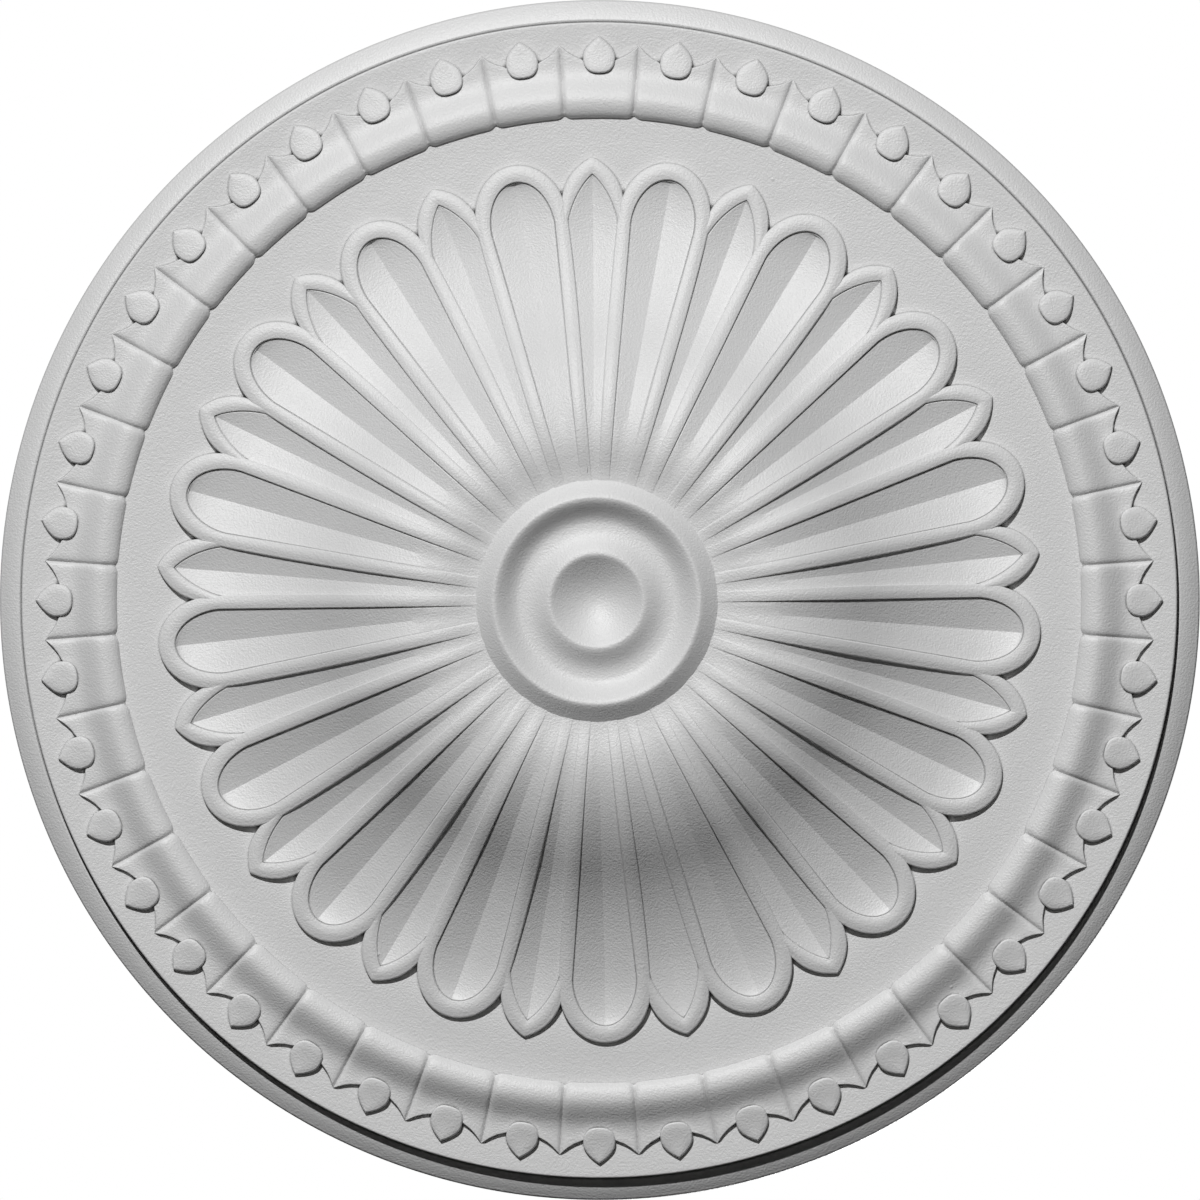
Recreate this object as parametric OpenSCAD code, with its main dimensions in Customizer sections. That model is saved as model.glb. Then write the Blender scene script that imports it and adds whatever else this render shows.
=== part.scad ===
// Ceiling rose: one moulded disc with a dished hub, a bell of petals, and a leaf-and-bud ring.
// Millimetres. The flat back lies on the ceiling at z = 0, and the ornament faces down, to -Z.

/* [Overall] */
// Diameter over the rim
rose_d = 381; // [330:1:480]
// Depth from the ceiling to the crest of the hub ring
projection = 47; // [40:1:70]

/* [Rim] */
// Thickness at the outermost edge
rim_edge_t = 4.2; // [3:0.1:6]
// Width of the sloping rim flange
flange_w = 7; // [5:0.5:10]
// How much the flange thickens inwards
flange_rise = 2.4; // [1:0.1:3.5]
// Height of the step from the flange to the fillet
step_h = 3.1; // [2:0.1:5]
// Width of the plain fillet between the step and the leaf tips
fillet_w = 7; // [5:0.5:10]

/* [Leaf ring] */
// Number of leaves, and of buds between them
leaf_count = 44; // [32:2:56]
// Width of the ring, from its inner foot to the leaf tips
leaf_ring_w = 24.5; // [20:0.5:30]
// How far the crest of the ring lies from its inner foot
leaf_crest_w = 6; // [4:0.5:8]
// How far the notches between the leaf tips reach in
leaf_notch_w = 9; // [6:0.5:12]
// Height of the ring's crest over the fillet
leaf_crest_h = 6.2; // [5:0.1:9]
// Thickness of the leaf tips over the fillet
leaf_tip_t = 1.1; // [0.8:0.1:2]
// Width of the crease along the middle of each leaf
crease_w = 0.9; // [0.6:0.1:1.5]
// Depth of that crease
crease_d = 0.7; // [0.4:0.1:1]
// Length of a bud
bud_l = 12.5; // [9:0.5:14]
// Width of a bud
bud_w = 11.4; // [8:0.2:13]
// Thickness of a bud at its middle
bud_t = 1.6; // [1:0.1:2.5]

/* [Field] */
// Width of the plain field between the ring and the petal tips
field_w = 11.4; // [8:0.2:18]
// Height of the field over the fillet
field_rise = 3.2; // [2:0.1:6]

/* [Petals] */
// Number of broad petals, with as many narrow ones between them
petal_count = 17; // [13:1:21]
// Height of a broad petal's tip over the field
petal_tip_t = 2.2; // [1.5:0.1:4]
// How much lower the narrow petals lie
petal_lap = 0.6; // [0.4:0.1:1.2]
// Share of the pitch that a broad petal takes where it is widest
petal_share = 0.635; // [0.55:0.005:0.7]
// Share of the pitch that a broad petal takes at the hub
petal_root_share = 0.83; // [0.7:0.01:0.88]
// Length of a broad petal's rounded end
petal_end_l = 17.2; // [14:0.2:22]
// Width of the raised border along a petal's sides
border_w = 4.5; // [3.5:0.1:5.5]
// Width of the raised border at a petal's tip
border_tip_w = 5.4; // [4:0.1:7]
// Height of the border over the floor beside it
border_t = 1; // [0.6:0.1:1.6]
// Fall of each half of the floor to the middle line, in degrees
floor_fall = 14; // [8:1:18]

/* [Bell] */
// How far the bell's crest lies from the hub
bell_crest_w = 13; // [9:0.5:19]
// How far the bell's steepest place lies from its crest
bell_steep_w = 33; // [22:0.5:42]
// How far the bell has fallen at that radius
bell_steep_fall = 12.2; // [9:0.2:18]
// Slope of the bell at that radius
bell_slope = 0.7; // [0.5:0.05:1.1]
// Depth of the valley where the petals meet the hub
root_dip = 2; // [0.5:0.1:3]

/* [Hub] */
// Diameter of the hub
hub_d = 78; // [66:1:84]
// Width of the hub ring's outer side, from its foot to its crest
hub_ring_w = 6; // [4:0.2:9]
// Width of its inner side, from the crest to the valley
hub_inner_w = 8.6; // [6:0.2:11]
// Diameter of the dish rim
dish_d = 29; // [22:0.5:36]
// Height of the hub ring over the valley outside it
hub_ring_h = 3.8; // [2.5:0.1:7]
// Height of the hub ring over the valley inside it
hub_valley_h = 5.2; // [4:0.1:8]
// Height of the dish rim over that valley
dish_rim_h = 3.6; // [2:0.1:5]
// Depth of the dish
dish_depth = 6.4; // [3:0.1:8]

/* [Hidden] */
$fn = 96;

// Angles that the first broad petal and the first bud make with +X, seen from below
petal_phase = 80.3;
bud_phase = 90;

// Rings of the disc, worked out from the rim inwards
rim_r = rose_d / 2;
step_r = rim_r - flange_w;
leaf_tip_r = step_r - fillet_w;
leaf_foot_r = leaf_tip_r - leaf_ring_w;
leaf_crest_r = leaf_foot_r + leaf_crest_w;
leaf_notch_r = leaf_tip_r - leaf_notch_w;
petal_tip_r = leaf_foot_r - field_w;
hub_r = hub_d / 2;

// Heights over the ceiling face, from the rim inwards
flange_h = rim_edge_t + flange_rise;
fillet_h = flange_h + step_h;
field_h = fillet_h + field_rise;
petal_tip_h = field_h + petal_tip_t;
hub_foot_h = projection - hub_ring_h;
bell_crest_h = hub_foot_h + root_dip;
bell_steep_h = bell_crest_h - bell_steep_fall;

// Radii of the bell's crest and of its steepest place
bell_crest_r = hub_r + bell_crest_w;
bell_steep_r = bell_crest_r + bell_steep_w;

// Slope that the bell still has where it ends at the petal tips
bell_end_slope = 0.1;
// How far parts that are joined run into each other, so that they make one solid
sink = 3;
// Bow of a broad petal's sides: 1 is straight
side_bow = 1.28;
// Steps in a profile's curve, in the leaf ring's crest, along a petal's side and round its end
arc_steps = 7;
leaf_steps = 4;
side_steps = 8;
end_steps = 6;

// Smooth rise from 0 to 1 that is level at both ends
function ease(t) = (1 - cos(180 * t)) / 2;

// Points of a smooth rise or fall between two points of a profile, without the first one
function s_curve(a, b, steps) =
    [for (i = [1:steps]) [a[0] + (b[0] - a[0]) * i / steps, a[1] + (b[1] - a[1]) * ease(i / steps)]];

// Cubic from (x0, y0) with slope m0 to (x1, y1) with slope m1
function cubic(x, x0, y0, m0, x1, y1, m1) =
    let (w = x1 - x0, t = (x - x0) / w)
    y0 * (2 * pow(t, 3) - 3 * t * t + 1) + m0 * w * (pow(t, 3) - 2 * t * t + t)
    + y1 * (3 * t * t - 2 * pow(t, 3)) + m1 * w * (pow(t, 3) - t * t);

// Height of the petals' upper surface at radius r: a dip by the hub, the crest, and a long flared fall
function bell(r) =
    r < bell_crest_r ? bell_crest_h - root_dip * (1 - ease(max(0, (r - hub_r) / (bell_crest_r - hub_r))))
    : r < bell_steep_r ? cubic(r, bell_crest_r, bell_crest_h, 0, bell_steep_r, bell_steep_h, -bell_slope)
    : cubic(r, bell_steep_r, bell_steep_h, -bell_slope, petal_tip_r, petal_tip_h, -bell_end_slope);

// Height of the leaf ring's surface: a rounded crest that flattens out to the leaf tips
function leaf_points(drop, end_r) =
    let (
        crest_h = fillet_h + leaf_crest_h - drop,
        flat_h = fillet_h + leaf_tip_t - drop,
        flat_r = leaf_notch_r + 2,
        rise = crest_h - field_h
    )
    concat(
        [for (i = [0:leaf_steps])
            let (a = 90 * i / leaf_steps)
            [leaf_crest_r - leaf_crest_w * cos(a), field_h + rise * sin(a)]],
        s_curve([leaf_crest_r, crest_h], [flat_r, flat_h + 0.2], leaf_steps + 2),
        end_r > flat_r ? [[end_r, flat_h]] : []
    );

// Half of the pitch between broad petals, along the tangent at radius r
function half_pitch(r) = r * tan(180 / petal_count);

// Radius where a broad petal is widest, and its half width there and at the hub
wide_r = petal_tip_r - petal_end_l;
wide_w = petal_share * half_pitch(wide_r);
root_w = petal_root_share * half_pitch(hub_r);

// Radius where the floor inside the border is widest, and its half width there and at the hub
floor_wide_r = wide_r - border_w * 0.7;
floor_end_l = petal_tip_r - border_tip_w - floor_wide_r;
floor_wide_w = wide_w - border_w;
floor_root_w = root_w - border_w * 0.8;

// Half width of a shape that widens from its root to where it is widest; bow over 1 rounds its sides
function widening(r, root, wide, at_r, bow) =
    wide - (wide - root) * pow(max(0, (at_r - r) / (at_r - hub_r)), bow);

// Lines of [distance along the petal, half width]: a side that widens, a round end and a pointed end
function side_part(root, wide, at_r, bow) =
    [for (i = [0:side_steps])
        let (r = hub_r - sink + (at_r - hub_r + sink) * i / side_steps)
        [r, widening(r, root, wide, at_r, bow)]];
function round_end(wide, at_r, length) =
    [for (i = [1:end_steps])
        let (a = 90 * i / end_steps)
        [at_r + length * sin(a), wide * cos(a)]];
function pointed_end(wide, at_r, length, fullness) =
    [for (i = [1:end_steps])
        let (s = sin(90 * i / end_steps))
        [at_r + length * s, wide * pow(max(0, 1 - pow(s, fullness)), 0.85)]];

broad_outline = concat(side_part(root_w, wide_w, wide_r, side_bow), round_end(wide_w, wide_r, petal_end_l));
broad_floor = concat(
    side_part(floor_root_w, floor_wide_w, floor_wide_r, 1),
    round_end(floor_wide_w, floor_wide_r, floor_end_l)
);

// The narrow petals run on under the broad petals' borders, by this much at their widest
tuck = border_w * 0.7;
narrow_wide_r = petal_tip_r - petal_end_l * 1.5;
gap_w = half_pitch(narrow_wide_r) - widening(narrow_wide_r, root_w, wide_w, wide_r, side_bow);
gap_root_w = half_pitch(hub_r) - root_w;
narrow_outline = concat(
    side_part(gap_root_w + tuck / 2, gap_w + tuck, narrow_wide_r, 1),
    pointed_end(gap_w + tuck, narrow_wide_r, petal_tip_r - narrow_wide_r, 4)
);
narrow_floor = concat(
    side_part(gap_root_w + tuck / 4, gap_w + tuck / 3, narrow_wide_r, 1),
    pointed_end(gap_w + tuck / 3, narrow_wide_r, petal_tip_r - border_tip_w - narrow_wide_r, 2)
);

// Closed solid of one petal along +X: border on top, a wall down to the floor, two floor halves that
// meet in a valley, and a skirt that runs down into the body
module petal(outline, floor_line, lap) {
    n = len(outline);
    last = n - 1;
    both = [for (i = [0:2 * last]) i <= last ? [i, -1] : [2 * last - i, 1]];
    m = len(both);
    function place(p, side, drop) = [p[0], side * p[1], bell(norm(p)) - lap - drop];
    function valley(i) =
        let (p = floor_line[i], x = p[0] - (i / last) * border_tip_w * 0.4)
        [x, 0, bell(x) - lap - border_t - p[1] * tan(floor_fall)];
    function skirt(p, side) = [p[0], side * p[1], max(2, bell(norm(p)) - lap - petal_tip_t - 3 * sink)];
    points = concat(
        [for (b = both) skirt(outline[b[0]], b[1])],
        [for (b = both) place(outline[b[0]], b[1], 0)],
        [for (b = both) place(floor_line[b[0]], b[1], 0)],
        [for (b = both) place(floor_line[b[0]], b[1], border_t)],
        [for (i = [0:last - 1]) valley(i)]
    );
    function v(j) = 4 * m + min(j, m - 1 - j, last - 1);
    strips = [for (row = [0:2]) for (j = [0:m - 2]) each [
        [row * m + j, (row + 1) * m + j, row * m + j + 1],
        [row * m + j + 1, (row + 1) * m + j, (row + 1) * m + j + 1]
    ]];
    floor_faces = [for (j = [0:m - 2]) each (
        v(j) == v(j + 1) ? [[3 * m + j, v(j), 3 * m + j + 1]]
        : v(j) < v(j + 1) ? [[3 * m + j, v(j), 3 * m + j + 1], [3 * m + j + 1, v(j), v(j + 1)]]
        : [[3 * m + j, v(j), v(j + 1)], [3 * m + j, v(j + 1), 3 * m + j + 1]]
    )];
    under = [for (j = [0:last - 1]) each (j == last - 1
        ? [[j, j + 1, m - 1 - j]]
        : [[j, j + 1, m - 1 - j], [j + 1, m - 2 - j, m - 1 - j]])];
    root = [0, m - 1, 2 * m - 1, 3 * m - 1, 4 * m - 1, v(0), 3 * m, 2 * m, m];
    root_faces = [for (i = [1:len(root) - 2]) [root[0], root[i], root[i + 1]]];
    polyhedron(points = points, faces = concat(strips, floor_faces, under, root_faces));
}

// Flat plate with the sloping flange, the step, the fillet and the field, and the body under the bell
module plate() {
    core = [for (i = [0:2 * arc_steps])
        let (r = petal_tip_r - sink - (petal_tip_r - sink - hub_r) * i / (2 * arc_steps))
        [r, max(field_h, bell(r) - 2 * sink)]];
    rotate_extrude()
        polygon(concat(
            [[0, 0], [rim_r, 0], [rim_r, rim_edge_t], [step_r, flange_h], [step_r, fillet_h]],
            [[leaf_foot_r + 1, fillet_h], [leaf_foot_r + 1, field_h]],
            core,
            [[0, hub_foot_h - sink]]
        ));
}

// Round hub: a dish, a cavetto round it, a valley and a rounded ring
module hub() {
    crest = [hub_r - hub_ring_w, projection];
    valley = [crest[0] - hub_inner_w, projection - hub_valley_h];
    dish_rim = [dish_d / 2, valley[1] + dish_rim_h];
    dish_ball = (pow(dish_rim[0], 2) + pow(dish_depth, 2)) / (2 * dish_depth);
    dish_edge = asin(dish_rim[0] / dish_ball);
    rotate_extrude()
        polygon(concat(
            [[0, field_h], [hub_r, field_h], [hub_r, hub_foot_h - 0.5]],
            s_curve([hub_r, hub_foot_h - 0.5], crest, arc_steps),
            s_curve(crest, valley, arc_steps),
            [for (i = [1:arc_steps])
                let (t = i / arc_steps)
                [valley[0] + (dish_rim[0] - valley[0]) * t, valley[1] + dish_rim_h * pow(t, 1.9)]],
            [for (i = [1:arc_steps])
                let (a = dish_edge * (1 - i / arc_steps))
                [dish_ball * sin(a), dish_rim[1] - dish_depth + dish_ball * (1 - cos(a))]]
        ));
}

// Outline of the leaves: a zigzag with tips on the creases and notches at the buds
module leaf_outline() {
    step = 360 / leaf_count;
    difference() {
        polygon([for (i = [0:leaf_count - 1]) each [
            leaf_notch_r * [cos(bud_phase + i * step), sin(bud_phase + i * step)],
            leaf_tip_r * [cos(bud_phase + (i + 0.5) * step), sin(bud_phase + (i + 0.5) * step)]
        ]]);
        circle(r = leaf_foot_r - 1);
        for (i = [0:leaf_count - 1])
            rotate(bud_phase + (i + 0.5) * step)
                translate([leaf_foot_r, -crease_w / 2])
                    square([leaf_ring_w + 1, crease_w]);
    }
}

// Ring of leaves: a lower round under the creases, and the leaves themselves over it
module leaf_ring() {
    under = leaf_points(crease_d, leaf_notch_r - 0.5);
    over = leaf_points(0, leaf_tip_r + 1);
    below = fillet_h - sink;
    rotate_extrude()
        polygon(concat([[leaf_foot_r, below]], [for (p = under) if (p[0] < leaf_notch_r - 0.5) p],
            [[leaf_notch_r - 0.5, fillet_h + 0.1], [leaf_notch_r - 0.5, below]]));
    intersection() {
        linear_extrude(height = projection)
            leaf_outline();
        rotate_extrude()
            polygon(concat([[leaf_foot_r, below]], over, [[leaf_tip_r + 1, below]]));
    }
}

// Half width of a bud at share s of its length: round at the inner end, pointed at the outer end
function bud_half(s) =
    s < 0.45 ? bud_w / 2 * sqrt(1 - pow(1 - s / 0.45, 2)) : bud_w / 2 * (1 - pow((s - 0.45) / 0.55, 1.6));

// Ring of buds, one in each notch between the leaf tips, with a crowned top
module buds() {
    inner_r = leaf_notch_r - 0.6;
    side = [for (s = [0, 0.12, 0.3, 0.6, 0.8, 1]) [inner_r + s * bud_l, bud_half(s)]];
    outline = concat(side, [for (i = [len(side) - 2:-1:1]) [side[i][0], -side[i][1]]]);
    ball = (pow(bud_l / 2, 2) + pow(bud_t, 2)) / (2 * bud_t);
    intersection() {
        for (i = [0:leaf_count - 1])
            rotate(bud_phase + i * 360 / leaf_count)
                translate([0, 0, fillet_h - sink])
                    linear_extrude(height = 2 * sink)
                        polygon(outline);
        rotate_extrude()
            difference() {
                translate([inner_r - 1, fillet_h - sink])
                    square([bud_l + 2, sink + bud_t]);
                polygon(concat(
                    [for (i = [0:arc_steps])
                        let (x = bud_l * (i / arc_steps - 0.5))
                        [inner_r + bud_l / 2 + 1.2 * x,
                            fillet_h + bud_t * (1 - 0.55 * pow(2 * x / bud_l, 2))]],
                    [[inner_r + 2 * bud_l, fillet_h + 2 * sink], [inner_r - bud_l, fillet_h + 2 * sink]]
                ));
            }
    }
}

module ceiling_rose() {
    color("white")
        rotate([180, 0, 0]) {
            plate();
            hub();
            leaf_ring();
            buds();
            for (i = [0:petal_count - 1]) {
                rotate(petal_phase + i * 360 / petal_count)
                    petal(broad_outline, broad_floor, 0);
                rotate(petal_phase + (i + 0.5) * 360 / petal_count)
                    petal(narrow_outline, narrow_floor, petal_lap);
            }
        }
}

ceiling_rose();
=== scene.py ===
# %% [markdown]
# # A moulded ceiling rose
# This lesson models one object: a round ceiling rose, cast in one piece in hard foam and sprayed with
# matte white primer. It hangs flat under a ceiling, so its ornament faces down, along -Z, and its
# plain back lies at z = 0. Everything is worked out with numpy as whole surfaces, joined into one
# closed mesh, and lit by one low, sharp light that makes the shallow relief readable.

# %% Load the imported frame
import math

import bmesh
import bpy
import numpy as np
from mathutils import Matrix, Vector


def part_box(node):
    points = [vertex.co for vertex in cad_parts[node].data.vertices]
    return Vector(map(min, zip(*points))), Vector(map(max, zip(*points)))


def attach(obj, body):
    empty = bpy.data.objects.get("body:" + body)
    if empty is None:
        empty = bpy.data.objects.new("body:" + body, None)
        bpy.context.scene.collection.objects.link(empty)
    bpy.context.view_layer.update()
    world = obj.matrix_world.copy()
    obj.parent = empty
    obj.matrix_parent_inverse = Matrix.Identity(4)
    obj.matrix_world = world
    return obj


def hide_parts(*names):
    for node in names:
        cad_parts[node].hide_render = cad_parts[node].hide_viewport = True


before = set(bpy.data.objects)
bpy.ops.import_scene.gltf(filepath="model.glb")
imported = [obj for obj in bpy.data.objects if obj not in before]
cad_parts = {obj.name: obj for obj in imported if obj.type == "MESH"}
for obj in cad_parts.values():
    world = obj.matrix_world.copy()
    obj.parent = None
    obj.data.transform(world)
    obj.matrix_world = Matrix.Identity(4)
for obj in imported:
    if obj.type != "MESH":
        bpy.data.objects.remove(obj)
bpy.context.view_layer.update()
BOX_LOW, BOX_HIGH = [np.array(corner) * 1000 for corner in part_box("ceiling_rose")]
print("CAD box, mm:", BOX_LOW.round(2), BOX_HIGH.round(2))

# %% [markdown]
# ## Sizes
# All sizes are millimetres, and become metres at the very end. A "height" is the distance from the
# ceiling, so a taller place hangs lower. The outermost radius and the full depth come from the frame,
# and the rings of the ornament follow inwards from the rim.

# %% Rings and heights
RIM_R = (BOX_HIGH[0] - BOX_LOW[0]) / 2
DEPTH = BOX_HIGH[2] - BOX_LOW[2]

STEP_R = RIM_R - 7
LEAF_TIP_R = STEP_R - 7
LEAF_FOOT_R = LEAF_TIP_R - 24.5
LEAF_CREST_R = LEAF_FOOT_R + 6
LEAF_NOTCH_R = LEAF_TIP_R - 9
PETAL_TIP_R = LEAF_FOOT_R - 11.4
HUB_R = 39

RIM_EDGE_H = 4.2
FLANGE_H = 6.6
FILLET_H = 9.7
FIELD_H = 12.9
PETAL_TIP_H = 15.1
HUB_FOOT_H = DEPTH - 3.8
ROOT_DIP = 2.0
BELL_CREST_R = 52
BELL_CREST_H = HUB_FOOT_H + ROOT_DIP
BELL_STEEP_R = 85
BELL_STEEP_H = BELL_CREST_H - 12.2
BELL_SLOPE = 0.7
BELL_END_SLOPE = 0.1
DIP_POWER = 0.75

PETALS = 17
LEAVES = 44
PETAL_PHASE = math.radians(80.3)
BUD_PHASE = math.radians(90)
print("rim radius %.1f mm, depth %.1f mm" % (RIM_R, DEPTH))


# %% [markdown]
# ## Curves that several parts share
# The ornament is built from a few smooth curves. The largest is the bell, the surface that the petals
# lie on: it dips where it meets the hub, has its crest a little way out, and then falls in a long flare
# to the petal tips.

# %% Smooth curves
def ease(t):
    """Smooth rise from 0 to 1 that is level at both ends: half of one minus a cosine."""
    return (1 - np.cos(np.pi * np.clip(t, 0, 1))) / 2


def cubic(x, x0, y0, m0, x1, y1, m1):
    """The cubic that starts at (x0, y0) with slope m0 and ends at (x1, y1) with slope m1."""
    w = x1 - x0
    t = (x - x0) / w
    start = y0 * (2 * t**3 - 3 * t**2 + 1) + m0 * w * (t**3 - 2 * t**2 + t)
    return start + y1 * (3 * t**2 - 2 * t**3) + m1 * w * (t**3 - t**2)


def smooth_min(a, b, soft):
    """The lower of two curves, its corner rounded: minus the log of the sum of e to the minus each."""
    return -soft * np.logaddexp(-a / soft, -b / soft)


def bell(r):
    """Height of the petals' surface: a small dip by the hub, a crest, then two cubics that flare out."""
    share = np.clip((r - HUB_R) / (BELL_CREST_R - HUB_R), 0, 1)
    dip = BELL_CREST_H - ROOT_DIP * (1 - ease(share**DIP_POWER))
    inner = cubic(r, BELL_CREST_R, BELL_CREST_H, 0, BELL_STEEP_R, BELL_STEEP_H, -BELL_SLOPE)
    outer = cubic(r, BELL_STEEP_R, BELL_STEEP_H, -BELL_SLOPE, PETAL_TIP_R, PETAL_TIP_H, -BELL_END_SLOPE)
    return np.where(r < BELL_CREST_R, dip, np.where(r < BELL_STEEP_R, inner, outer))


print("bell heights at 45, 80 and 120 mm:", bell(np.array([45.0, 80.0, 120.0])).round(1))


# %% [markdown]
# ## From arrays to a mesh
# A grid of points becomes quads by pairing each point with its neighbours. Each part below is one or
# more such grids with its ends closed, so that it encloses a volume. Points that coincide, such as
# those along a petal's middle line, are merged afterwards.

# %% Mesh helpers
DOUBLE_DISTANCE = 1e-4


def grid_quads(rows, columns, wrap_columns=False, wrap_rows=False):
    """Corner numbers of the quads of a rows x columns grid, which may close on itself either way."""
    r = np.arange(rows if wrap_rows else rows - 1)[:, None]
    c = np.arange(columns if wrap_columns else columns - 1)[None, :]
    r1, c1 = (r + 1) % rows, (c + 1) % columns
    corners = [r * columns + c, r * columns + c1, r1 * columns + c1, r1 * columns + c]
    return np.stack(np.broadcast_arrays(*corners), axis=-1).reshape(-1, 4)


def solid(name, points, faces):
    """A mesh object from points and faces, with doubles merged and faces turned outwards."""
    mesh = bpy.data.meshes.new(name)
    corners = np.asarray(points, float).reshape(-1, 3).tolist()
    mesh.from_pydata(corners, [], [list(map(int, face)) for face in faces])
    obj = bpy.data.objects.new(name, mesh)
    bpy.context.scene.collection.objects.link(obj)
    work = bmesh.new()
    work.from_mesh(mesh)
    bmesh.ops.remove_doubles(work, verts=work.verts, dist=DOUBLE_DISTANCE)
    bmesh.ops.recalc_face_normals(work, faces=work.faces)
    open_edges = sum(not e.is_manifold for e in work.edges)
    work.to_mesh(mesh)
    work.free()
    print("%s: %d faces, %d open edges" % (name, len(mesh.polygons), open_edges))
    return obj


def turned(points, angles):
    """Copies of points turned about the middle axis by each angle: x and y turn, height stays."""
    c, s = np.cos(angles)[:, None, None], np.sin(angles)[:, None, None]
    x, y, h = np.moveaxis(np.asarray(points).reshape(1, -1, 3), -1, 0)[..., None]
    return np.concatenate([x * c - y * s, x * s + y * c, h + 0 * c], axis=-1)


def revolved(name, profile, columns):
    """A solid turned from a profile of (radius, height) that starts and ends on the middle axis."""
    profile = np.asarray(profile, float)
    angle = np.arange(columns) / columns * 2 * np.pi
    r, h = profile[1:-1, 0][:, None], profile[1:-1, 1][:, None]
    rings = np.stack([r * np.cos(angle), r * np.sin(angle), h + 0 * angle], axis=-1).reshape(-1, 3)
    first, last = len(rings), len(rings) + 1
    ends = [[0, 0, profile[0, 1]], [0, 0, profile[-1, 1]]]
    faces = grid_quads(len(profile) - 2, columns, wrap_columns=True).tolist()
    base = (len(profile) - 3) * columns
    faces += [[first, (j + 1) % columns, j] for j in range(columns)]
    faces += [[last, base + j, base + (j + 1) % columns] for j in range(columns)]
    return solid(name, np.vstack([rings, ends]), faces)


# %% [markdown]
# ## The plain disc
# Under the ornament lies a plain turned body: a flat back, a rounded rim, a sloping flange, a sharp
# step up to a plain fillet, and the field between the leaves and the petals. A turned form could be a
# lathe of a drawn curve; here its profile is a list of points, with short arcs at the edges so that
# light catches them as on a real casting.

# %% Turned body
BACK_ROUND = 0.7
RIM_ROUND = 1.3
FLANGE_BULGE = 0.35
STEP_ROUND = 0.6
SWELL_H = 0.45
SWELL_W = 12
CORE_D = 7
DISC_COLUMNS = 308


def arc(centre, radius, start, end, steps):
    """Points on an arc about centre, from the start to the end angle in degrees."""
    a = np.radians(np.linspace(start, end, steps))
    return np.stack([centre[0] + radius * np.cos(a), centre[1] + radius * np.sin(a)], axis=-1)


def disc_profile():
    """Back, rim edge, flange, step, fillet, field, and a core that follows under the bell.

    The edge is two arcs. The flange is a straight slope plus a parabola, and ends in a hair-fine groove
    at the step's foot. The field swells inwards by the square of the distance from the leaves.
    """
    back = [[0, 0], [90, 0], [RIM_R - BACK_ROUND, 0]]
    low_edge = arc((RIM_R - BACK_ROUND, BACK_ROUND), BACK_ROUND, -90, 0, 7)
    high_edge = arc((RIM_R - RIM_ROUND, RIM_EDGE_H - 1.5), RIM_ROUND, 0, 70, 6)
    start_r, start_h = high_edge[-1]
    t = np.linspace(0.06, 1, 7)
    flange_r = start_r + (STEP_R + 1 - start_r) * t
    flange_h = start_h + (FLANGE_H - start_h) * (t + FLANGE_BULGE * t * (1 - t))
    flange = np.stack([flange_r, flange_h], axis=-1)
    groove = np.array([[0.7, -0.05], [0.35, -0.2], [0, -0.3]]) + [STEP_R, FLANGE_H]
    step = arc((STEP_R - STEP_ROUND, FILLET_H - STEP_ROUND), STEP_ROUND, 0, 90, 8)
    shelf = [[r, FILLET_H] for r in (STEP_R - 1.6, LEAF_TIP_R, LEAF_NOTCH_R - 3, LEAF_FOOT_R + 4)]
    r = np.linspace(LEAF_FOOT_R + 2, PETAL_TIP_R - 14, 7)
    swell = SWELL_H * (np.clip(LEAF_FOOT_R - r, 0, SWELL_W) / SWELL_W) ** 2
    field = np.stack([r, FIELD_H + swell], axis=-1)
    r = np.linspace(PETAL_TIP_R - 17, HUB_R - 4, 5)
    core = np.stack([r, bell(np.maximum(r, HUB_R)) - CORE_D], axis=-1)
    middle = [[0, HUB_FOOT_H - CORE_D - 1]]
    return np.vstack([back, low_edge, high_edge, flange, groove, step, shelf, field, core, middle])


disc = revolved("plain_disc", disc_profile(), DISC_COLUMNS)


# %% [markdown]
# ## The hub
# The hub is turned too: a rounded ring, a valley, a hollow (cavetto) that sweeps up to a soft rim, and a
# shallow dish like the inside of a spoon. The dish rim is where two curves cross, so a smooth minimum
# of the two rounds the edge in one step.

# %% Hub
HUB_CREST_R = 32.7
HUB_VALLEY_R = 24.4
HUB_VALLEY_H = DEPTH - 5.2
DISH_R = 14.5
DISH_RIM_H = HUB_VALLEY_H + 3.6
DISH_ROUND = 9
DISH_SOFT = 0.22
RING_ROUND = 1
CONE_SLOPE = 0.8
HUB_OVERLAP = 3.5
HUB_COLUMNS = 148


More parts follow.
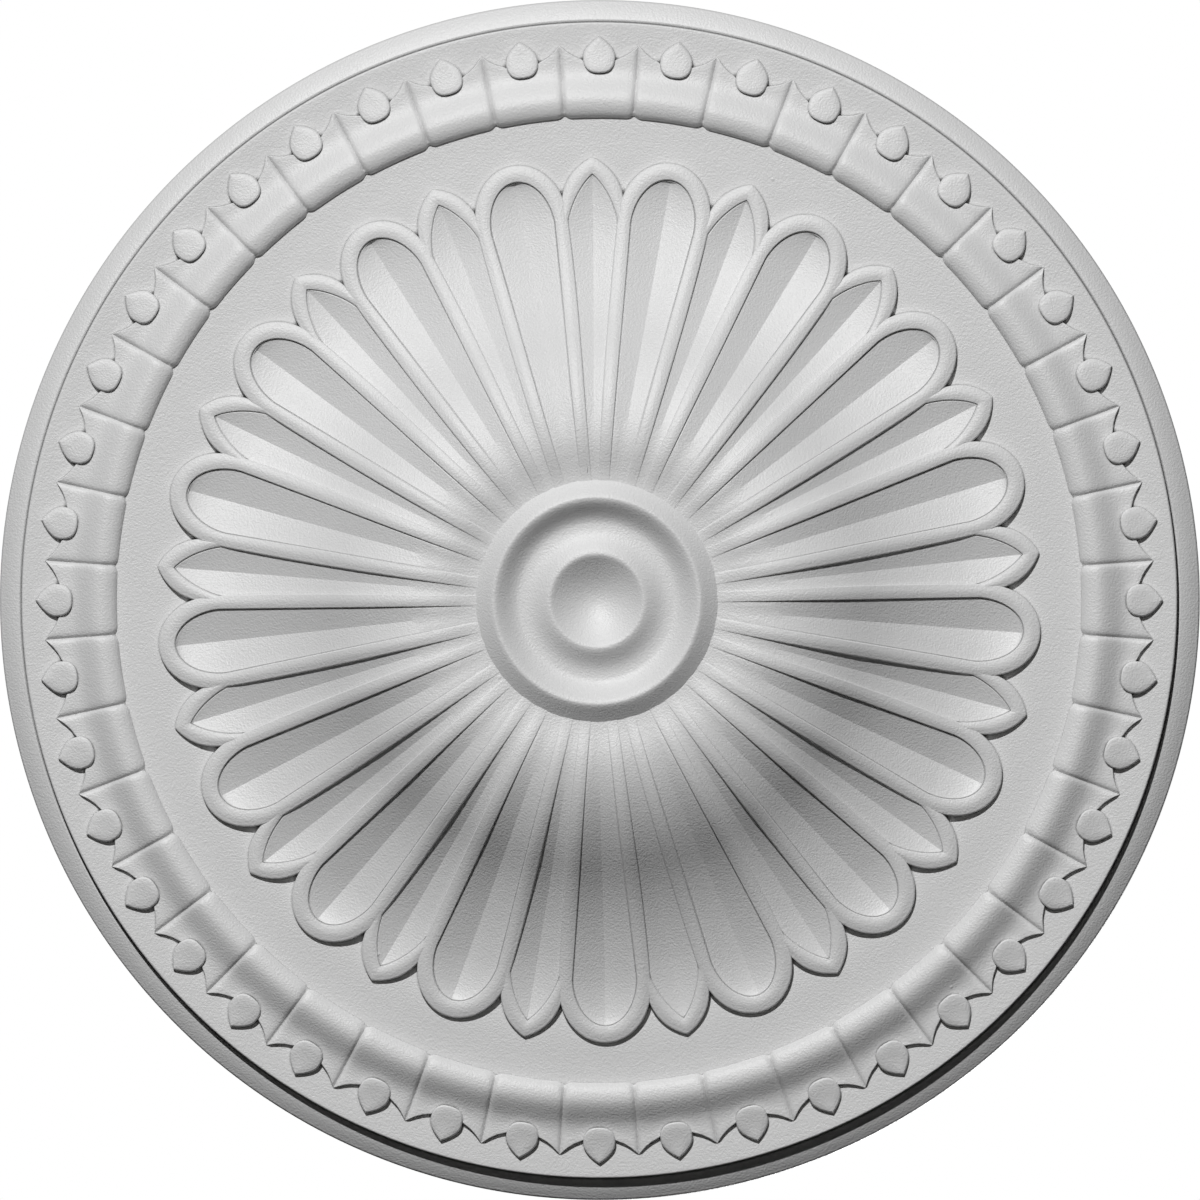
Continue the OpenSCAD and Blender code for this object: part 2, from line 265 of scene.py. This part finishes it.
def hub_profile():
    """A ring, then the lower of a cavetto and a dish.

    The ring's outer side is a hyperbola, so a cone with a rounded top, and ends inside the petals. Its
    inner side and the cavetto are eased. The dish is a hyperbola too, a cone with a rounded bottom.
    """
    side = np.linspace(HUB_R + HUB_OVERLAP, HUB_CREST_R + 2, 8)
    r = np.concatenate([side, np.linspace(HUB_CREST_R + 1.7, HUB_CREST_R, 8)])
    fall = CONE_SLOPE * (np.hypot(r - HUB_CREST_R, RING_ROUND) - RING_ROUND)
    outer = np.stack([r, DEPTH - fall], axis=-1)
    t = np.linspace(0, 1, 17)[1:]
    r = HUB_CREST_R + (HUB_VALLEY_R - HUB_CREST_R) * t
    inner = np.stack([r, DEPTH - (DEPTH - HUB_VALLEY_H) * ease(t**0.87)], axis=-1)
    sweep = np.linspace(HUB_VALLEY_R, DISH_R + 2, 10)[1:]
    soft_rim = np.linspace(DISH_R + 1.6, DISH_R - 2, 12)
    r = np.concatenate([sweep, soft_rim, np.linspace(DISH_R - 2.8, 0, 16)])
    share = np.clip((HUB_VALLEY_R - r) / (HUB_VALLEY_R - DISH_R), 0, 1)
    cavetto = HUB_VALLEY_H + (DISH_RIM_H - HUB_VALLEY_H) * ease(share**1.3)
    dish = DISH_RIM_H + CONE_SLOPE * (np.hypot(r, DISH_ROUND) - math.hypot(DISH_R, DISH_ROUND))
    bowl = np.stack([r, smooth_min(cavetto, dish, DISH_SOFT)], axis=-1)
    base = [[r, FIELD_H] for r in (0, HUB_R - 6, HUB_R + HUB_OVERLAP)]
    return np.vstack([base, outer, inner, bowl])


hub = revolved("hub", hub_profile(), HUB_COLUMNS)


# %% [markdown]
# ## The petals
# Seventeen broad petals with round ends lie over seventeen narrow ones with blunt points. Each petal
# is a shallow tray: a soft raised border, a small step down, and a floor of two flat halves that meet
# in a valley. A petal could be sculpted or subdivided from a low cage, but its border has to keep one
# width round a curve, so here a border profile is carried along the petal's outline: one parameter runs
# along the outline, the other across the border and down to the valley.

# %% Petal outlines
HALF_PITCH = math.tan(math.pi / PETALS)
PETAL_END_L = 17.2
BORDER_W = 4.5
BORDER_TIP_W = 5.4
BORDER_T = 1.0
FLOOR_FALL = math.tan(math.radians(14))
WIDE_R = PETAL_TIP_R - PETAL_END_L
WIDE_W = 0.635 * HALF_PITCH * WIDE_R
ROOT_W = 0.83 * HALF_PITCH * HUB_R
SIDE_BOW = 1.28
ROOT_R = HUB_R - 3


def widening(r, root, wide, at_r, bow):
    """Half width of a petal's side: wide at at_r, less a power of the distance back to the hub."""
    return wide - (wide - root) * np.clip((at_r - r) / (at_r - HUB_R), 0, 9) ** bow


def half_line(root, wide, at_r, bow, end, sides, steps):
    """One side of an outline from the hub to the tip: a widening side, then the given end curve."""
    r = np.linspace(ROOT_R, at_r, sides)
    side = np.stack([r, widening(r, root, wide, at_r, bow)], axis=-1)
    angle = np.linspace(0, np.pi / 2, steps)[1:]
    return np.vstack([side, end(angle)])


def round_end(wide, at_r, length):
    """A quarter of an ellipse from the side to the tip."""
    return lambda a: np.stack([at_r + length * np.sin(a), wide * np.cos(a)], axis=-1)


def pointed_end(wide, at_r, length, fullness, power):
    """A blunt point: the half width is a power of one minus the share of the length, itself a power."""
    return lambda a: np.stack(
        [at_r + length * np.sin(a), wide * np.clip(1 - np.sin(a) ** fullness, 0, 1) ** power], axis=-1
    )


FLOOR_R = WIDE_R - BORDER_W * 0.7
BROAD_POINTS = (25, 18)
NARROW_POINTS = (23, 17)
BROAD = (
    half_line(ROOT_W, WIDE_W, WIDE_R, SIDE_BOW, round_end(WIDE_W, WIDE_R, PETAL_END_L), *BROAD_POINTS),
    half_line(
        ROOT_W - BORDER_W * 0.8,
        WIDE_W - BORDER_W,
        FLOOR_R,
        1,
        round_end(WIDE_W - BORDER_W, FLOOR_R, PETAL_TIP_R - BORDER_TIP_W - FLOOR_R),
        *BROAD_POINTS,
    ),
)
TUCK = BORDER_W * 0.7
NARROW_R = PETAL_TIP_R - PETAL_END_L * 1.5
GAP_W = HALF_PITCH * NARROW_R - widening(NARROW_R, ROOT_W, WIDE_W, WIDE_R, SIDE_BOW)
GAP_ROOT_W = HALF_PITCH * HUB_R - ROOT_W
NARROW = (
    half_line(
        GAP_ROOT_W + TUCK / 2,
        GAP_W + TUCK,
        NARROW_R,
        1,
        pointed_end(GAP_W + TUCK, NARROW_R, PETAL_TIP_R - NARROW_R, 4, 0.85),
        *NARROW_POINTS,
    ),
    half_line(
        GAP_ROOT_W + TUCK / 4,
        GAP_W + TUCK / 3,
        NARROW_R,
        1,
        pointed_end(GAP_W + TUCK / 3, NARROW_R, PETAL_TIP_R - BORDER_TIP_W - NARROW_R, 2, 0.85),
        *NARROW_POINTS,
    ),
)
print("broad petal half width %.1f mm, narrow gap %.1f mm" % (WIDE_W, GAP_W))


# %% Petal surface
EDGE_ROUND = 0.7
STEP_W = 0.4
CROWN = 0.35
GROOVE_D = 0.1
SKIRT_D = 11.2


def relief(r):
    """Share of its full relief that a petal keeps: two eased rises out from the hub, where all merge."""
    return 0.04 + 0.16 * ease((r - HUB_R) / 5) + 0.8 * ease((r - HUB_R) / 42) ** 0.62


def border_rows(width, border_t):
    """Distance in from the outline, and height over the bell, of each row from skirt to floor.

    The outer edge is a quarter circle, the top is crowned by half a sine, and the inner edge is eased.
    """
    flat = 0 * width
    rows = [(flat, flat - SKIRT_D)]
    for q in np.radians(np.linspace(0, 90, 6)):
        rows.append((flat + EDGE_ROUND * (1 - np.cos(q)), flat - EDGE_ROUND * (1 - np.sin(q))))
    for q in (0.2, 0.4, 0.65, 0.88):
        rows.append((EDGE_ROUND + (width - STEP_W - EDGE_ROUND) * q, flat + CROWN * np.sin(np.pi * q)))
    foot = border_t + GROOVE_D
    rows += [(width - STEP_W * (1 - t), flat - foot * ease(t)) for t in (0, 0.25, 0.5, 0.75, 1)]
    rows += [(width + 0.35, flat - border_t)]
    across, rise = zip(*rows)
    return np.array(across), np.array(rise)


def petals(name, lines, lap, border_t, phase):
    """All petals of one kind: border rows carried along the outline, two floor rows, and closed ends.

    A row's point is the outline's point moved towards the floor line by the row's share of the border's
    width. Its height is the bell's at that radius, less the lap, plus the row's own height.
    """
    outline, floor = lines
    outline = np.vstack([outline, outline[-2::-1] * [1, -1]])
    floor = np.vstack([floor, floor[-2::-1] * [1, -1]])
    gap = floor - outline
    width = np.linalg.norm(gap, axis=1)
    across, rise = border_rows(width, border_t)
    spots = outline[None] + gap[None] * (across / width)[..., None]
    radius = np.maximum(np.linalg.norm(spots, axis=-1), HUB_R)
    keep = relief(radius)
    keep[0] = 1
    height = bell(radius) + (rise - lap) * keep
    height[0] = np.maximum(height[0], 2)
    valley = np.stack([floor[:, 0], 0 * floor[:, 0]], axis=-1)
    radius = np.maximum(valley[:, 0], HUB_R)
    fall = lap + border_t + np.abs(floor[:, 1]) * FLOOR_FALL
    deep = bell(radius) - fall * relief(radius)
    middle = (floor + valley) / 2
    middle_h = (height[-1] + deep) / 2
    spots = np.concatenate([spots, middle[None], valley[None]])
    height = np.concatenate([height, middle_h[None], deep[None]])
    points = np.concatenate([spots, height[..., None]], axis=-1)
    rows, columns = height.shape
    faces = grid_quads(rows, columns).tolist()
    half = columns // 2
    faces += [[j, j + 1, columns - 2 - j, columns - 1 - j] for j in range(half - 1)]
    faces += [[half - 1, half, half + 1]]
    upper_side = [i * columns for i in range(rows)]
    lower_side = [i * columns + columns - 1 for i in range(rows - 2, -1, -1)]
    faces += [upper_side + lower_side]
    angles = phase + np.arange(PETALS) * 2 * np.pi / PETALS
    copies = turned(points, angles)
    size = rows * columns
    all_faces = [[i + k * size for i in f] for k in range(PETALS) for f in faces]
    return solid(name, copies, all_faces)


narrow_phase = PETAL_PHASE + math.pi / PETALS
narrow_petals = petals("narrow_petals", NARROW, lap=0.25, border_t=0.6, phase=narrow_phase)
broad_petals = petals("broad_petals", BROAD, lap=0, border_t=BORDER_T, phase=PETAL_PHASE)


# %% [markdown]
# ## The leaf ring
# Forty-four leaves lie side by side in a ring with a rounded foot, a crest, and a fall that flattens
# out to pointed tips. A fine crease runs down the middle of each tip. The ring is one grid that closes
# on itself both ways: one parameter goes round the rose, with extra columns beside each crease, and the
# other goes over the ring from foot to edge and back underneath.

# %% Leaf ring
CREASE_D = 0.75
LEAF_RISE = 3.2
LEAF_FALL = 4.6
LEAF_EDGE_ROUND = 0.4
LEAF_BASE_R = LEAF_FOOT_R + 1.2
LEAF_TOP_R = LEAF_CREST_R + 0.4


def leaf_height(r):
    """A quarter of a squarish ellipse from foot to crest, an eased fall, and a nearly level end."""
    inward = np.clip((LEAF_TOP_R - r) / (LEAF_TOP_R + 0.1 - LEAF_BASE_R), 0, 1)
    foot = FIELD_H - 0.2 + LEAF_RISE * np.sqrt(1 - inward**2.2)
    fall = FIELD_H - 0.2 + LEAF_RISE - LEAF_FALL * ease((r - LEAF_TOP_R) / 11) ** 0.95
    end = 0.2 * np.clip((r - LEAF_NOTCH_R - 1) / 8, 0, 1)
    return np.where(r < LEAF_TOP_R, foot, fall - end)


def leaf_ring():
    """Rows at set radii up to the notches, then rows drawn out to the zigzag of tips.

    The crease is a narrow bell curve inside a wide one, by the distance to the leaf's middle line, and
    a third bell curve draws the foot in a little at each crease.
    """
    beside = np.array([0, 0.18, 0.36, 0.56, 0.8, 1.15, 1.7, 2.6, 4.4, 7.5, 11.0])
    half_step = np.pi / LEAVES
    near = np.concatenate([-beside[:0:-1], beside, [half_step * LEAF_TIP_R]]) / LEAF_TIP_R
    crease = BUD_PHASE + half_step + np.arange(LEAVES) * 2 * half_step
    angle = (crease[:, None] + near[None]).ravel()
    off = np.tile(np.abs(near), LEAVES)
    share = 1 - off / half_step
    edge = LEAF_NOTCH_R + (LEAF_TIP_R - LEAF_NOTCH_R) * (share + 0.07 * np.sin(2 * np.pi * share))
    rounding = LEAF_TOP_R - (LEAF_TOP_R - LEAF_BASE_R) * np.sin(np.linspace(np.pi / 2, 0, 11))
    radii = np.concatenate([rounding, np.linspace(LEAF_CREST_R + 1.2, LEAF_NOTCH_R - 1, 8)])
    inner = radii[:, None] + 0 * angle
    last = radii[-1]
    outer = last + (edge - LEAF_EDGE_ROUND - last) * np.array([0.33, 0.67, 1])[:, None]
    r = np.vstack([inner, outer])
    top = leaf_height(r)
    side = off * r
    groove = CREASE_D * np.exp(-((side / 0.55) ** 1.6)) + 0.25 * np.exp(-((side / 1.6) ** 2))
    fade = np.clip((r - LEAF_BASE_R) / 2, 0, 1)
    top = top - groove * fade - 0.3 * np.clip(1 - (r - LEAF_BASE_R), 0, 1)
    notch = 0.9 * np.exp(-((side / 1.2) ** 2)) * np.clip(1 - (r - LEAF_BASE_R - 1) / 5, 0, 1)
    r = r + notch
    q = np.radians([18, 36, 54, 72, 90])[:, None]
    edge_r = edge - LEAF_EDGE_ROUND * (1 - np.sin(q))
    edge_h = top[-1] - LEAF_EDGE_ROUND * (1 - np.cos(q))
    low = FILLET_H - 3
    r = np.vstack([r, edge_r, edge, edge * 0 + LEAF_BASE_R])
    h = np.vstack([top, edge_h, edge * 0 + low, edge * 0 + low])
    points = np.stack([r * np.cos(angle), r * np.sin(angle), h], axis=-1)
    return solid("leaf_ring", points, grid_quads(*h.shape, wrap_columns=True, wrap_rows=True))


leaves = leaf_ring()

# %% [markdown]
# ## The buds
# A small bud sits in each notch between two leaf tips: round at its inner end, pointed at its outer
# end, and slightly crowned. Each is a stack of shrinking copies of its outline, closed by one face.

# %% Buds
BUD_L = 11.6
BUD_W = 10.3
BUD_T = 1.9
BUD_LIFT = 1.9
BUD_WIDEST = 0.45


def bud_outline(columns):
    """Half width by share of the length: a rounded end up to the widest place, then a falling power."""
    share = BUD_WIDEST * 2 * ease(np.linspace(0, 0.5, columns))
    inner = np.stack([share, (1 - (1 - share / BUD_WIDEST) ** 2.5) ** 0.4], axis=-1)
    share = np.linspace(BUD_WIDEST, 1, columns)[1:]
    outer = np.stack([share, 1 - ((share - BUD_WIDEST) / (1 - BUD_WIDEST)) ** 1.9], axis=-1)
    half = np.vstack([inner, outer]) * [BUD_L, BUD_W / 2]
    return np.vstack([half, half[-2:0:-1] * [1, -1]])


def buds():
    """Rings of each bud shrink towards its middle as they rise; the inner end is lifted by a power."""
    line = bud_outline(8)
    centre = np.array([BUD_L * 0.47, 0])
    shrink = np.array([1, 1, 0.985, 0.955, 0.91, 0.8, 0.6, 0.3])
    rise = np.array([-4, 0.5, 0.85, 1.1, 1.27, 1.4, 1.5, 1.5]) * (BUD_T / 1.5)
    flat = centre + (line - centre)[None] * shrink[:, None, None]
    lift = BUD_LIFT * np.clip(1 - flat[..., 0] / (0.8 * BUD_L), 0, 1) ** 1.4
    height = FILLET_H + rise[:, None] + lift * (rise[:, None] > 0)
    flat[..., 0] += LEAF_NOTCH_R - 0.1
    points = np.concatenate([flat, height[..., None]], axis=-1)
    rows, columns = height.shape
    faces = grid_quads(rows, columns, wrap_columns=True).tolist()
    faces += [list(range(columns)), [(rows - 1) * columns + j for j in range(columns)]]
    angles = BUD_PHASE + np.arange(LEAVES) * 2 * np.pi / LEAVES
    size = rows * columns
    all_faces = [[i + k * size for i in f] for k in range(LEAVES) for f in faces]
    return solid("buds", turned(points, angles), all_faces)


bud_ring = buds()


# %% [markdown]
# ## One casting
# On the real rose all of this is a single casting, so the parts are joined with Boolean unions into one
# closed mesh, and what lies inside is gone. The heights then become real positions: height h hangs at
# z = -h under the ceiling, which is a half turn about X.

# %% Join the parts
SHARP_ANGLE = math.radians(18.5)


def joined(name, first, others):
    """The union of closed solids, as a new mesh object; the parts are removed."""
    for other in others:
        union = first.modifiers.new(other.name, "BOOLEAN")
        union.operation = "UNION"
        union.solver = "MANIFOLD"
        union.object = other
    bpy.context.view_layer.update()
    done = first.evaluated_get(bpy.context.evaluated_depsgraph_get())
    union_mesh = bpy.data.meshes.new_from_object(done)
    union_mesh.name = name
    obj = bpy.data.objects.new(name, union_mesh)
    bpy.context.scene.collection.objects.link(obj)
    for part in [first, *others]:
        bpy.data.objects.remove(part)
    return obj


rose = joined("moulded_rose", disc, [narrow_petals, broad_petals, leaves, bud_ring, hub])
mesh = rose.data
spots = np.empty(len(mesh.vertices) * 3)
mesh.vertices.foreach_get("co", spots)
spots = spots.reshape(-1, 3) * [0.001, -0.001, -0.001]
mesh.vertices.foreach_set("co", spots.ravel())
mesh.update()
mesh.shade_smooth()
mesh.set_sharp_from_angle(angle=SHARP_ANGLE)
mesh.calc_loop_triangles()
print("joined: %d vertices, %d triangles" % (len(mesh.vertices), len(mesh.loop_triangles)))
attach(rose, "root")
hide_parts("ceiling_rose")


# %% [markdown]
# ## Primer
# The front is matte acrylic primer sprayed on moulded polyurethane foam. Spraying leaves a very fine
# grain, a faint unevenness of tone, and here and there a speck. Nothing is glossy.

# %% Material helpers
def linear(hex_colour):
    """sRGB hex to a linear RGBA colour."""
    parts = np.array([int(hex_colour[i : i + 2], 16) for i in (1, 3, 5)]) / 255
    low = parts / 12.92
    high = ((parts + 0.055) / 1.055) ** 2.4
    return (*np.where(parts <= 0.04045, low, high), 1)


def node(tree, kind, links=None, **settings):
    """Adds a node, sets its properties or sockets by name, and links sockets that are named in links."""
    made = tree.nodes.new(kind)
    for key, value in settings.items():
        if hasattr(made, key):
            setattr(made, key, value)
        else:
            made.inputs[key.replace("_", " ")].default_value = value
    for key, source in (links or {}).items():
        tree.links.new(source, made.inputs[key])
    return made


def tone_mix(tree, factor, low, high):
    """A colour between two sRGB hex colours, by a factor."""
    mix = node(tree, "ShaderNodeMix", {"Factor": factor}, data_type="RGBA")
    mix.inputs["A"].default_value = linear(low)
    mix.inputs["B"].default_value = linear(high)
    return mix.outputs["Result"]


def painted_shade_mask(tree, reach, low, high):
    """0 in narrow folds and 1 in the open, from how much of the space within reach is free: the mask for
    painted shade.
    """
    free = node(tree, "ShaderNodeAmbientOcclusion", samples=6, only_local=True, Distance=reach)
    scale = node(tree, "ShaderNodeMapRange", {"Value": free.outputs["AO"]})
    scale.inputs["From Min"].default_value = low
    scale.inputs["From Max"].default_value = high
    return scale.outputs["Result"]


def relief_bump(tree, height, distance, under=None):
    """Bump of the given height in metres, added to the bump under it."""
    links = {"Height": height, "Normal": under} if under else {"Height": height}
    return node(tree, "ShaderNodeBump", links, Strength=1.0, Distance=distance).outputs["Normal"]


# %% [markdown]
# Sizes in a material are metres on the object. A pattern's scale is one over the size of its spots, and
# a bump's distance is how high they stand. The real grain is finer than the view can show, so it is
# drawn at two thirds of a millimetre. The folds between petals and leaves get painted shade: the base
# colour goes to nearly black where ambient occlusion finds little free space close by.

# %% Primer
GRAIN_SIZE = 1 / 1500
GRAIN_H = 0.0002
ORANGE_PEEL_SIZE = 1 / 260
ORANGE_PEEL_H = 0.00006
PATCH_SIZE = 0.025
SPECK_SPACING = 1 / 42
SPECK_SHARE = 0.035
SPECK_H = 0.00018
# Reach and occlusion range of the painted shade in folds.
PAINTED_SHADE_REACH = 0.0014
PAINTED_SHADE_RANGE = (0.33, 0.7)


def primer():
    """Matte acrylic primer on foam: fine grain, tone patches of 25 mm, and painted shade in deep folds.
    """
    material = bpy.data.materials.new("matte_acrylic_primer")
    material.use_nodes = True
    tree = material.node_tree
    surface = tree.nodes["Principled BSDF"]
    surface.inputs["Roughness"].default_value = 0.5
    surface.inputs["Specular IOR Level"].default_value = 0.8
    place = node(tree, "ShaderNodeTexCoord").outputs["Object"]
    at = {"Vector": place}
    noise = "ShaderNodeTexNoise"
    grain = node(tree, noise, at, Scale=1 / GRAIN_SIZE, Detail=2.0, Roughness=0.6)
    orange_peel = node(tree, noise, at, Scale=1 / ORANGE_PEEL_SIZE, Detail=3.0, Roughness=0.55)
    patches = node(tree, noise, at, Scale=1 / PATCH_SIZE, Detail=3.0, Roughness=0.5)
    blend = node(tree, "ShaderNodeMath", operation="ADD")
    tree.links.new(patches.outputs["Fac"], blend.inputs[0])
    tree.links.new(grain.outputs["Fac"], blend.inputs[1])
    half = node(tree, "ShaderNodeMath", operation="MULTIPLY")
    tree.links.new(blend.outputs[0], half.inputs[0])
    half.inputs[1].default_value = 0.5
    tone = tone_mix(tree, half.outputs[0], "#DADADA", "#E5E5E5")
    # Painted shade: where ambient occlusion finds a fold, the base colour is mixed towards near-black
    # #222222.
    painted_shade_mix_factor = painted_shade_mask(tree, PAINTED_SHADE_REACH, *PAINTED_SHADE_RANGE)
    mix = node(tree, "ShaderNodeMix", {"Factor": painted_shade_mix_factor}, data_type="RGBA")
    mix.inputs["A"].default_value = linear("#222222")
    tree.links.new(tone, mix.inputs["B"])
    tree.links.new(mix.outputs["Result"], surface.inputs["Base Color"])
    cells = node(tree, "ShaderNodeTexVoronoi", at, Scale=1 / SPECK_SPACING)
    distance = {"Value": cells.outputs["Distance"]}
    speck = node(tree, "ShaderNodeMapRange", distance, interpolation_type="SMOOTHSTEP")
    speck.inputs["From Max"].default_value = SPECK_SHARE
    speck.inputs["To Min"].default_value = 1
    speck.inputs["To Max"].default_value = 0
    normal = relief_bump(tree, speck.outputs["Result"], SPECK_H)
    normal = relief_bump(tree, orange_peel.outputs["Fac"], ORANGE_PEEL_H, normal)
    normal = relief_bump(tree, grain.outputs["Fac"], GRAIN_H, normal)
    tree.links.new(normal, surface.inputs["Normal"])
    return material


# %% [markdown]
# The back is the bare foam that the primer didn't reach: paler and warmer, duller, and full of open
# pores.

# %% Bare foam on the back
PORE_SIZE = 1 / 900
PORE_H = 0.00025


def raw_foam():
    """Cut face of rigid polyurethane foam: pale cream, with open pores of about 1 mm."""
    material = bpy.data.materials.new("raw_polyurethane_foam")
    material.use_nodes = True
    tree = material.node_tree
    surface = tree.nodes["Principled BSDF"]
    surface.inputs["Roughness"].default_value = 0.85
    surface.inputs["Specular IOR Level"].default_value = 0.2
    place = node(tree, "ShaderNodeTexCoord").outputs["Object"]
    pores = node(tree, "ShaderNodeTexVoronoi", {"Vector": place}, Scale=1 / PORE_SIZE)
    at = {"Vector": place}
    patches = node(tree, "ShaderNodeTexNoise", at, Scale=30.0, Detail=4.0, Roughness=0.6)
    tone = tone_mix(tree, patches.outputs["Fac"], "#E8E3D6", "#F0ECE2")
    tree.links.new(tone, surface.inputs["Base Color"])
    tree.links.new(relief_bump(tree, pores.outputs["Distance"], PORE_H), surface.inputs["Normal"])
    return material


mesh.materials.clear()
mesh.materials.append(primer())
mesh.materials.append(raw_foam())
centres = np.empty(len(mesh.polygons) * 3)
mesh.polygons.foreach_get("center", centres)
is_back = centres.reshape(-1, 3)[:, 2] > -1e-5
mesh.polygons.foreach_set("material_index", is_back.astype(np.int32))
print("back faces left as raw foam:", int(is_back.sum()))

# %% [markdown]
# ## Camera and light
# The camera looks up at the rose, within two degrees of square, with a parallel view, so no ring hides
# behind another. The key light is a small, distant disc near the top of the view, 50 degrees out from
# the ceiling, and it leaves the lower side of each edge in shadow. A wide sun over the back lights only
# views from that side. The world gives very little light of its own, but the camera sees it white. A
# pale floor lies far below.

# %% Camera
CAMERA_DISTANCE = 0.9
SEEN_FROM = np.array([math.tan(math.radians(1.3)), -math.tan(math.radians(0.4)), -1.0])
camera = bpy.data.objects.new("camera", bpy.data.cameras.new("camera"))
camera.data.type = "ORTHO"
camera.data.ortho_scale = 2 * RIM_R / 1000
camera.location = SEEN_FROM / np.linalg.norm(SEEN_FROM) * CAMERA_DISTANCE
back = Vector(camera.location).normalized()
right = Vector((1, 0, 0)) - back * back.x
right.normalize()
up = back.cross(right)
camera.rotation_euler = Matrix((right, up, back)).transposed().to_euler()
camera.data.clip_end = 20
bpy.context.scene.collection.objects.link(camera)
bpy.context.scene.camera = camera
bpy.context.scene.view_settings.view_transform = "Standard"


# %% Lights
def lamp(name, kind, azimuth, elevation, distance, size, energy):
    """A lamp that points at the rose; its direction is worked out from two angles in degrees.

    Azimuth is clockwise from the top of the view, and elevation is out from the ceiling. The size is the
    width of a disc in metres, or the angle of a sun.
    """
    a, e = math.radians(azimuth), math.radians(elevation)
    towards = Vector((math.sin(a) * math.cos(e), -math.cos(a) * math.cos(e), -math.sin(e)))
    light = bpy.data.objects.new(name, bpy.data.lights.new(name, kind))
    light.data.energy = energy
    if kind == "SUN":
        light.data.angle = size
    else:
        light.data.shape = "DISK"
        light.data.size = size
    light.location = towards * distance
    light.rotation_euler = towards.to_track_quat("Z", "Y").to_euler()
    light.visible_camera = False
    bpy.context.scene.collection.objects.link(light)
    print("%s lamp at" % name, [round(x, 2) for x in light.location])


lamp("key", "AREA", azimuth=-14, elevation=50, distance=7, size=0.2, energy=425)
lamp("top", "SUN", azimuth=150, elevation=-60, distance=1, size=math.radians(20), energy=2.8)

AMBIENT = 0.014
world = bpy.data.worlds.new("studio")
world.use_nodes = True
bpy.context.scene.world = world
tree = world.node_tree
tree.nodes.clear()
seen = node(tree, "ShaderNodeLightPath").outputs["Is Camera Ray"]
ambient = node(tree, "ShaderNodeBackground", Strength=AMBIENT)
white = node(tree, "ShaderNodeBackground", Strength=1.0)
ambient.inputs["Color"].default_value = (1, 1, 1, 1)
white.inputs["Color"].default_value = (1, 1, 1, 1)
mix = node(tree, "ShaderNodeMixShader")
tree.links.new(seen, mix.inputs[0])
tree.links.new(ambient.outputs[0], mix.inputs[1])
tree.links.new(white.outputs[0], mix.inputs[2])
tree.links.new(mix.outputs[0], node(tree, "ShaderNodeOutputWorld").inputs["Surface"])

# %% Floor
FLOOR_WIDTH = 8
FLOOR_BELOW = 6
bpy.ops.mesh.primitive_plane_add(size=FLOOR_WIDTH, location=(0, 0, -FLOOR_BELOW))
floor = bpy.context.object
floor.name = "floor"
floor.visible_diffuse = False
paint = bpy.data.materials.new("pale_floor_paint")
paint.use_nodes = True
paint.node_tree.nodes["Principled BSDF"].inputs["Base Color"].default_value = linear("#E6E4E0")
paint.node_tree.nodes["Principled BSDF"].inputs["Roughness"].default_value = 0.8
floor.data.materials.append(paint)
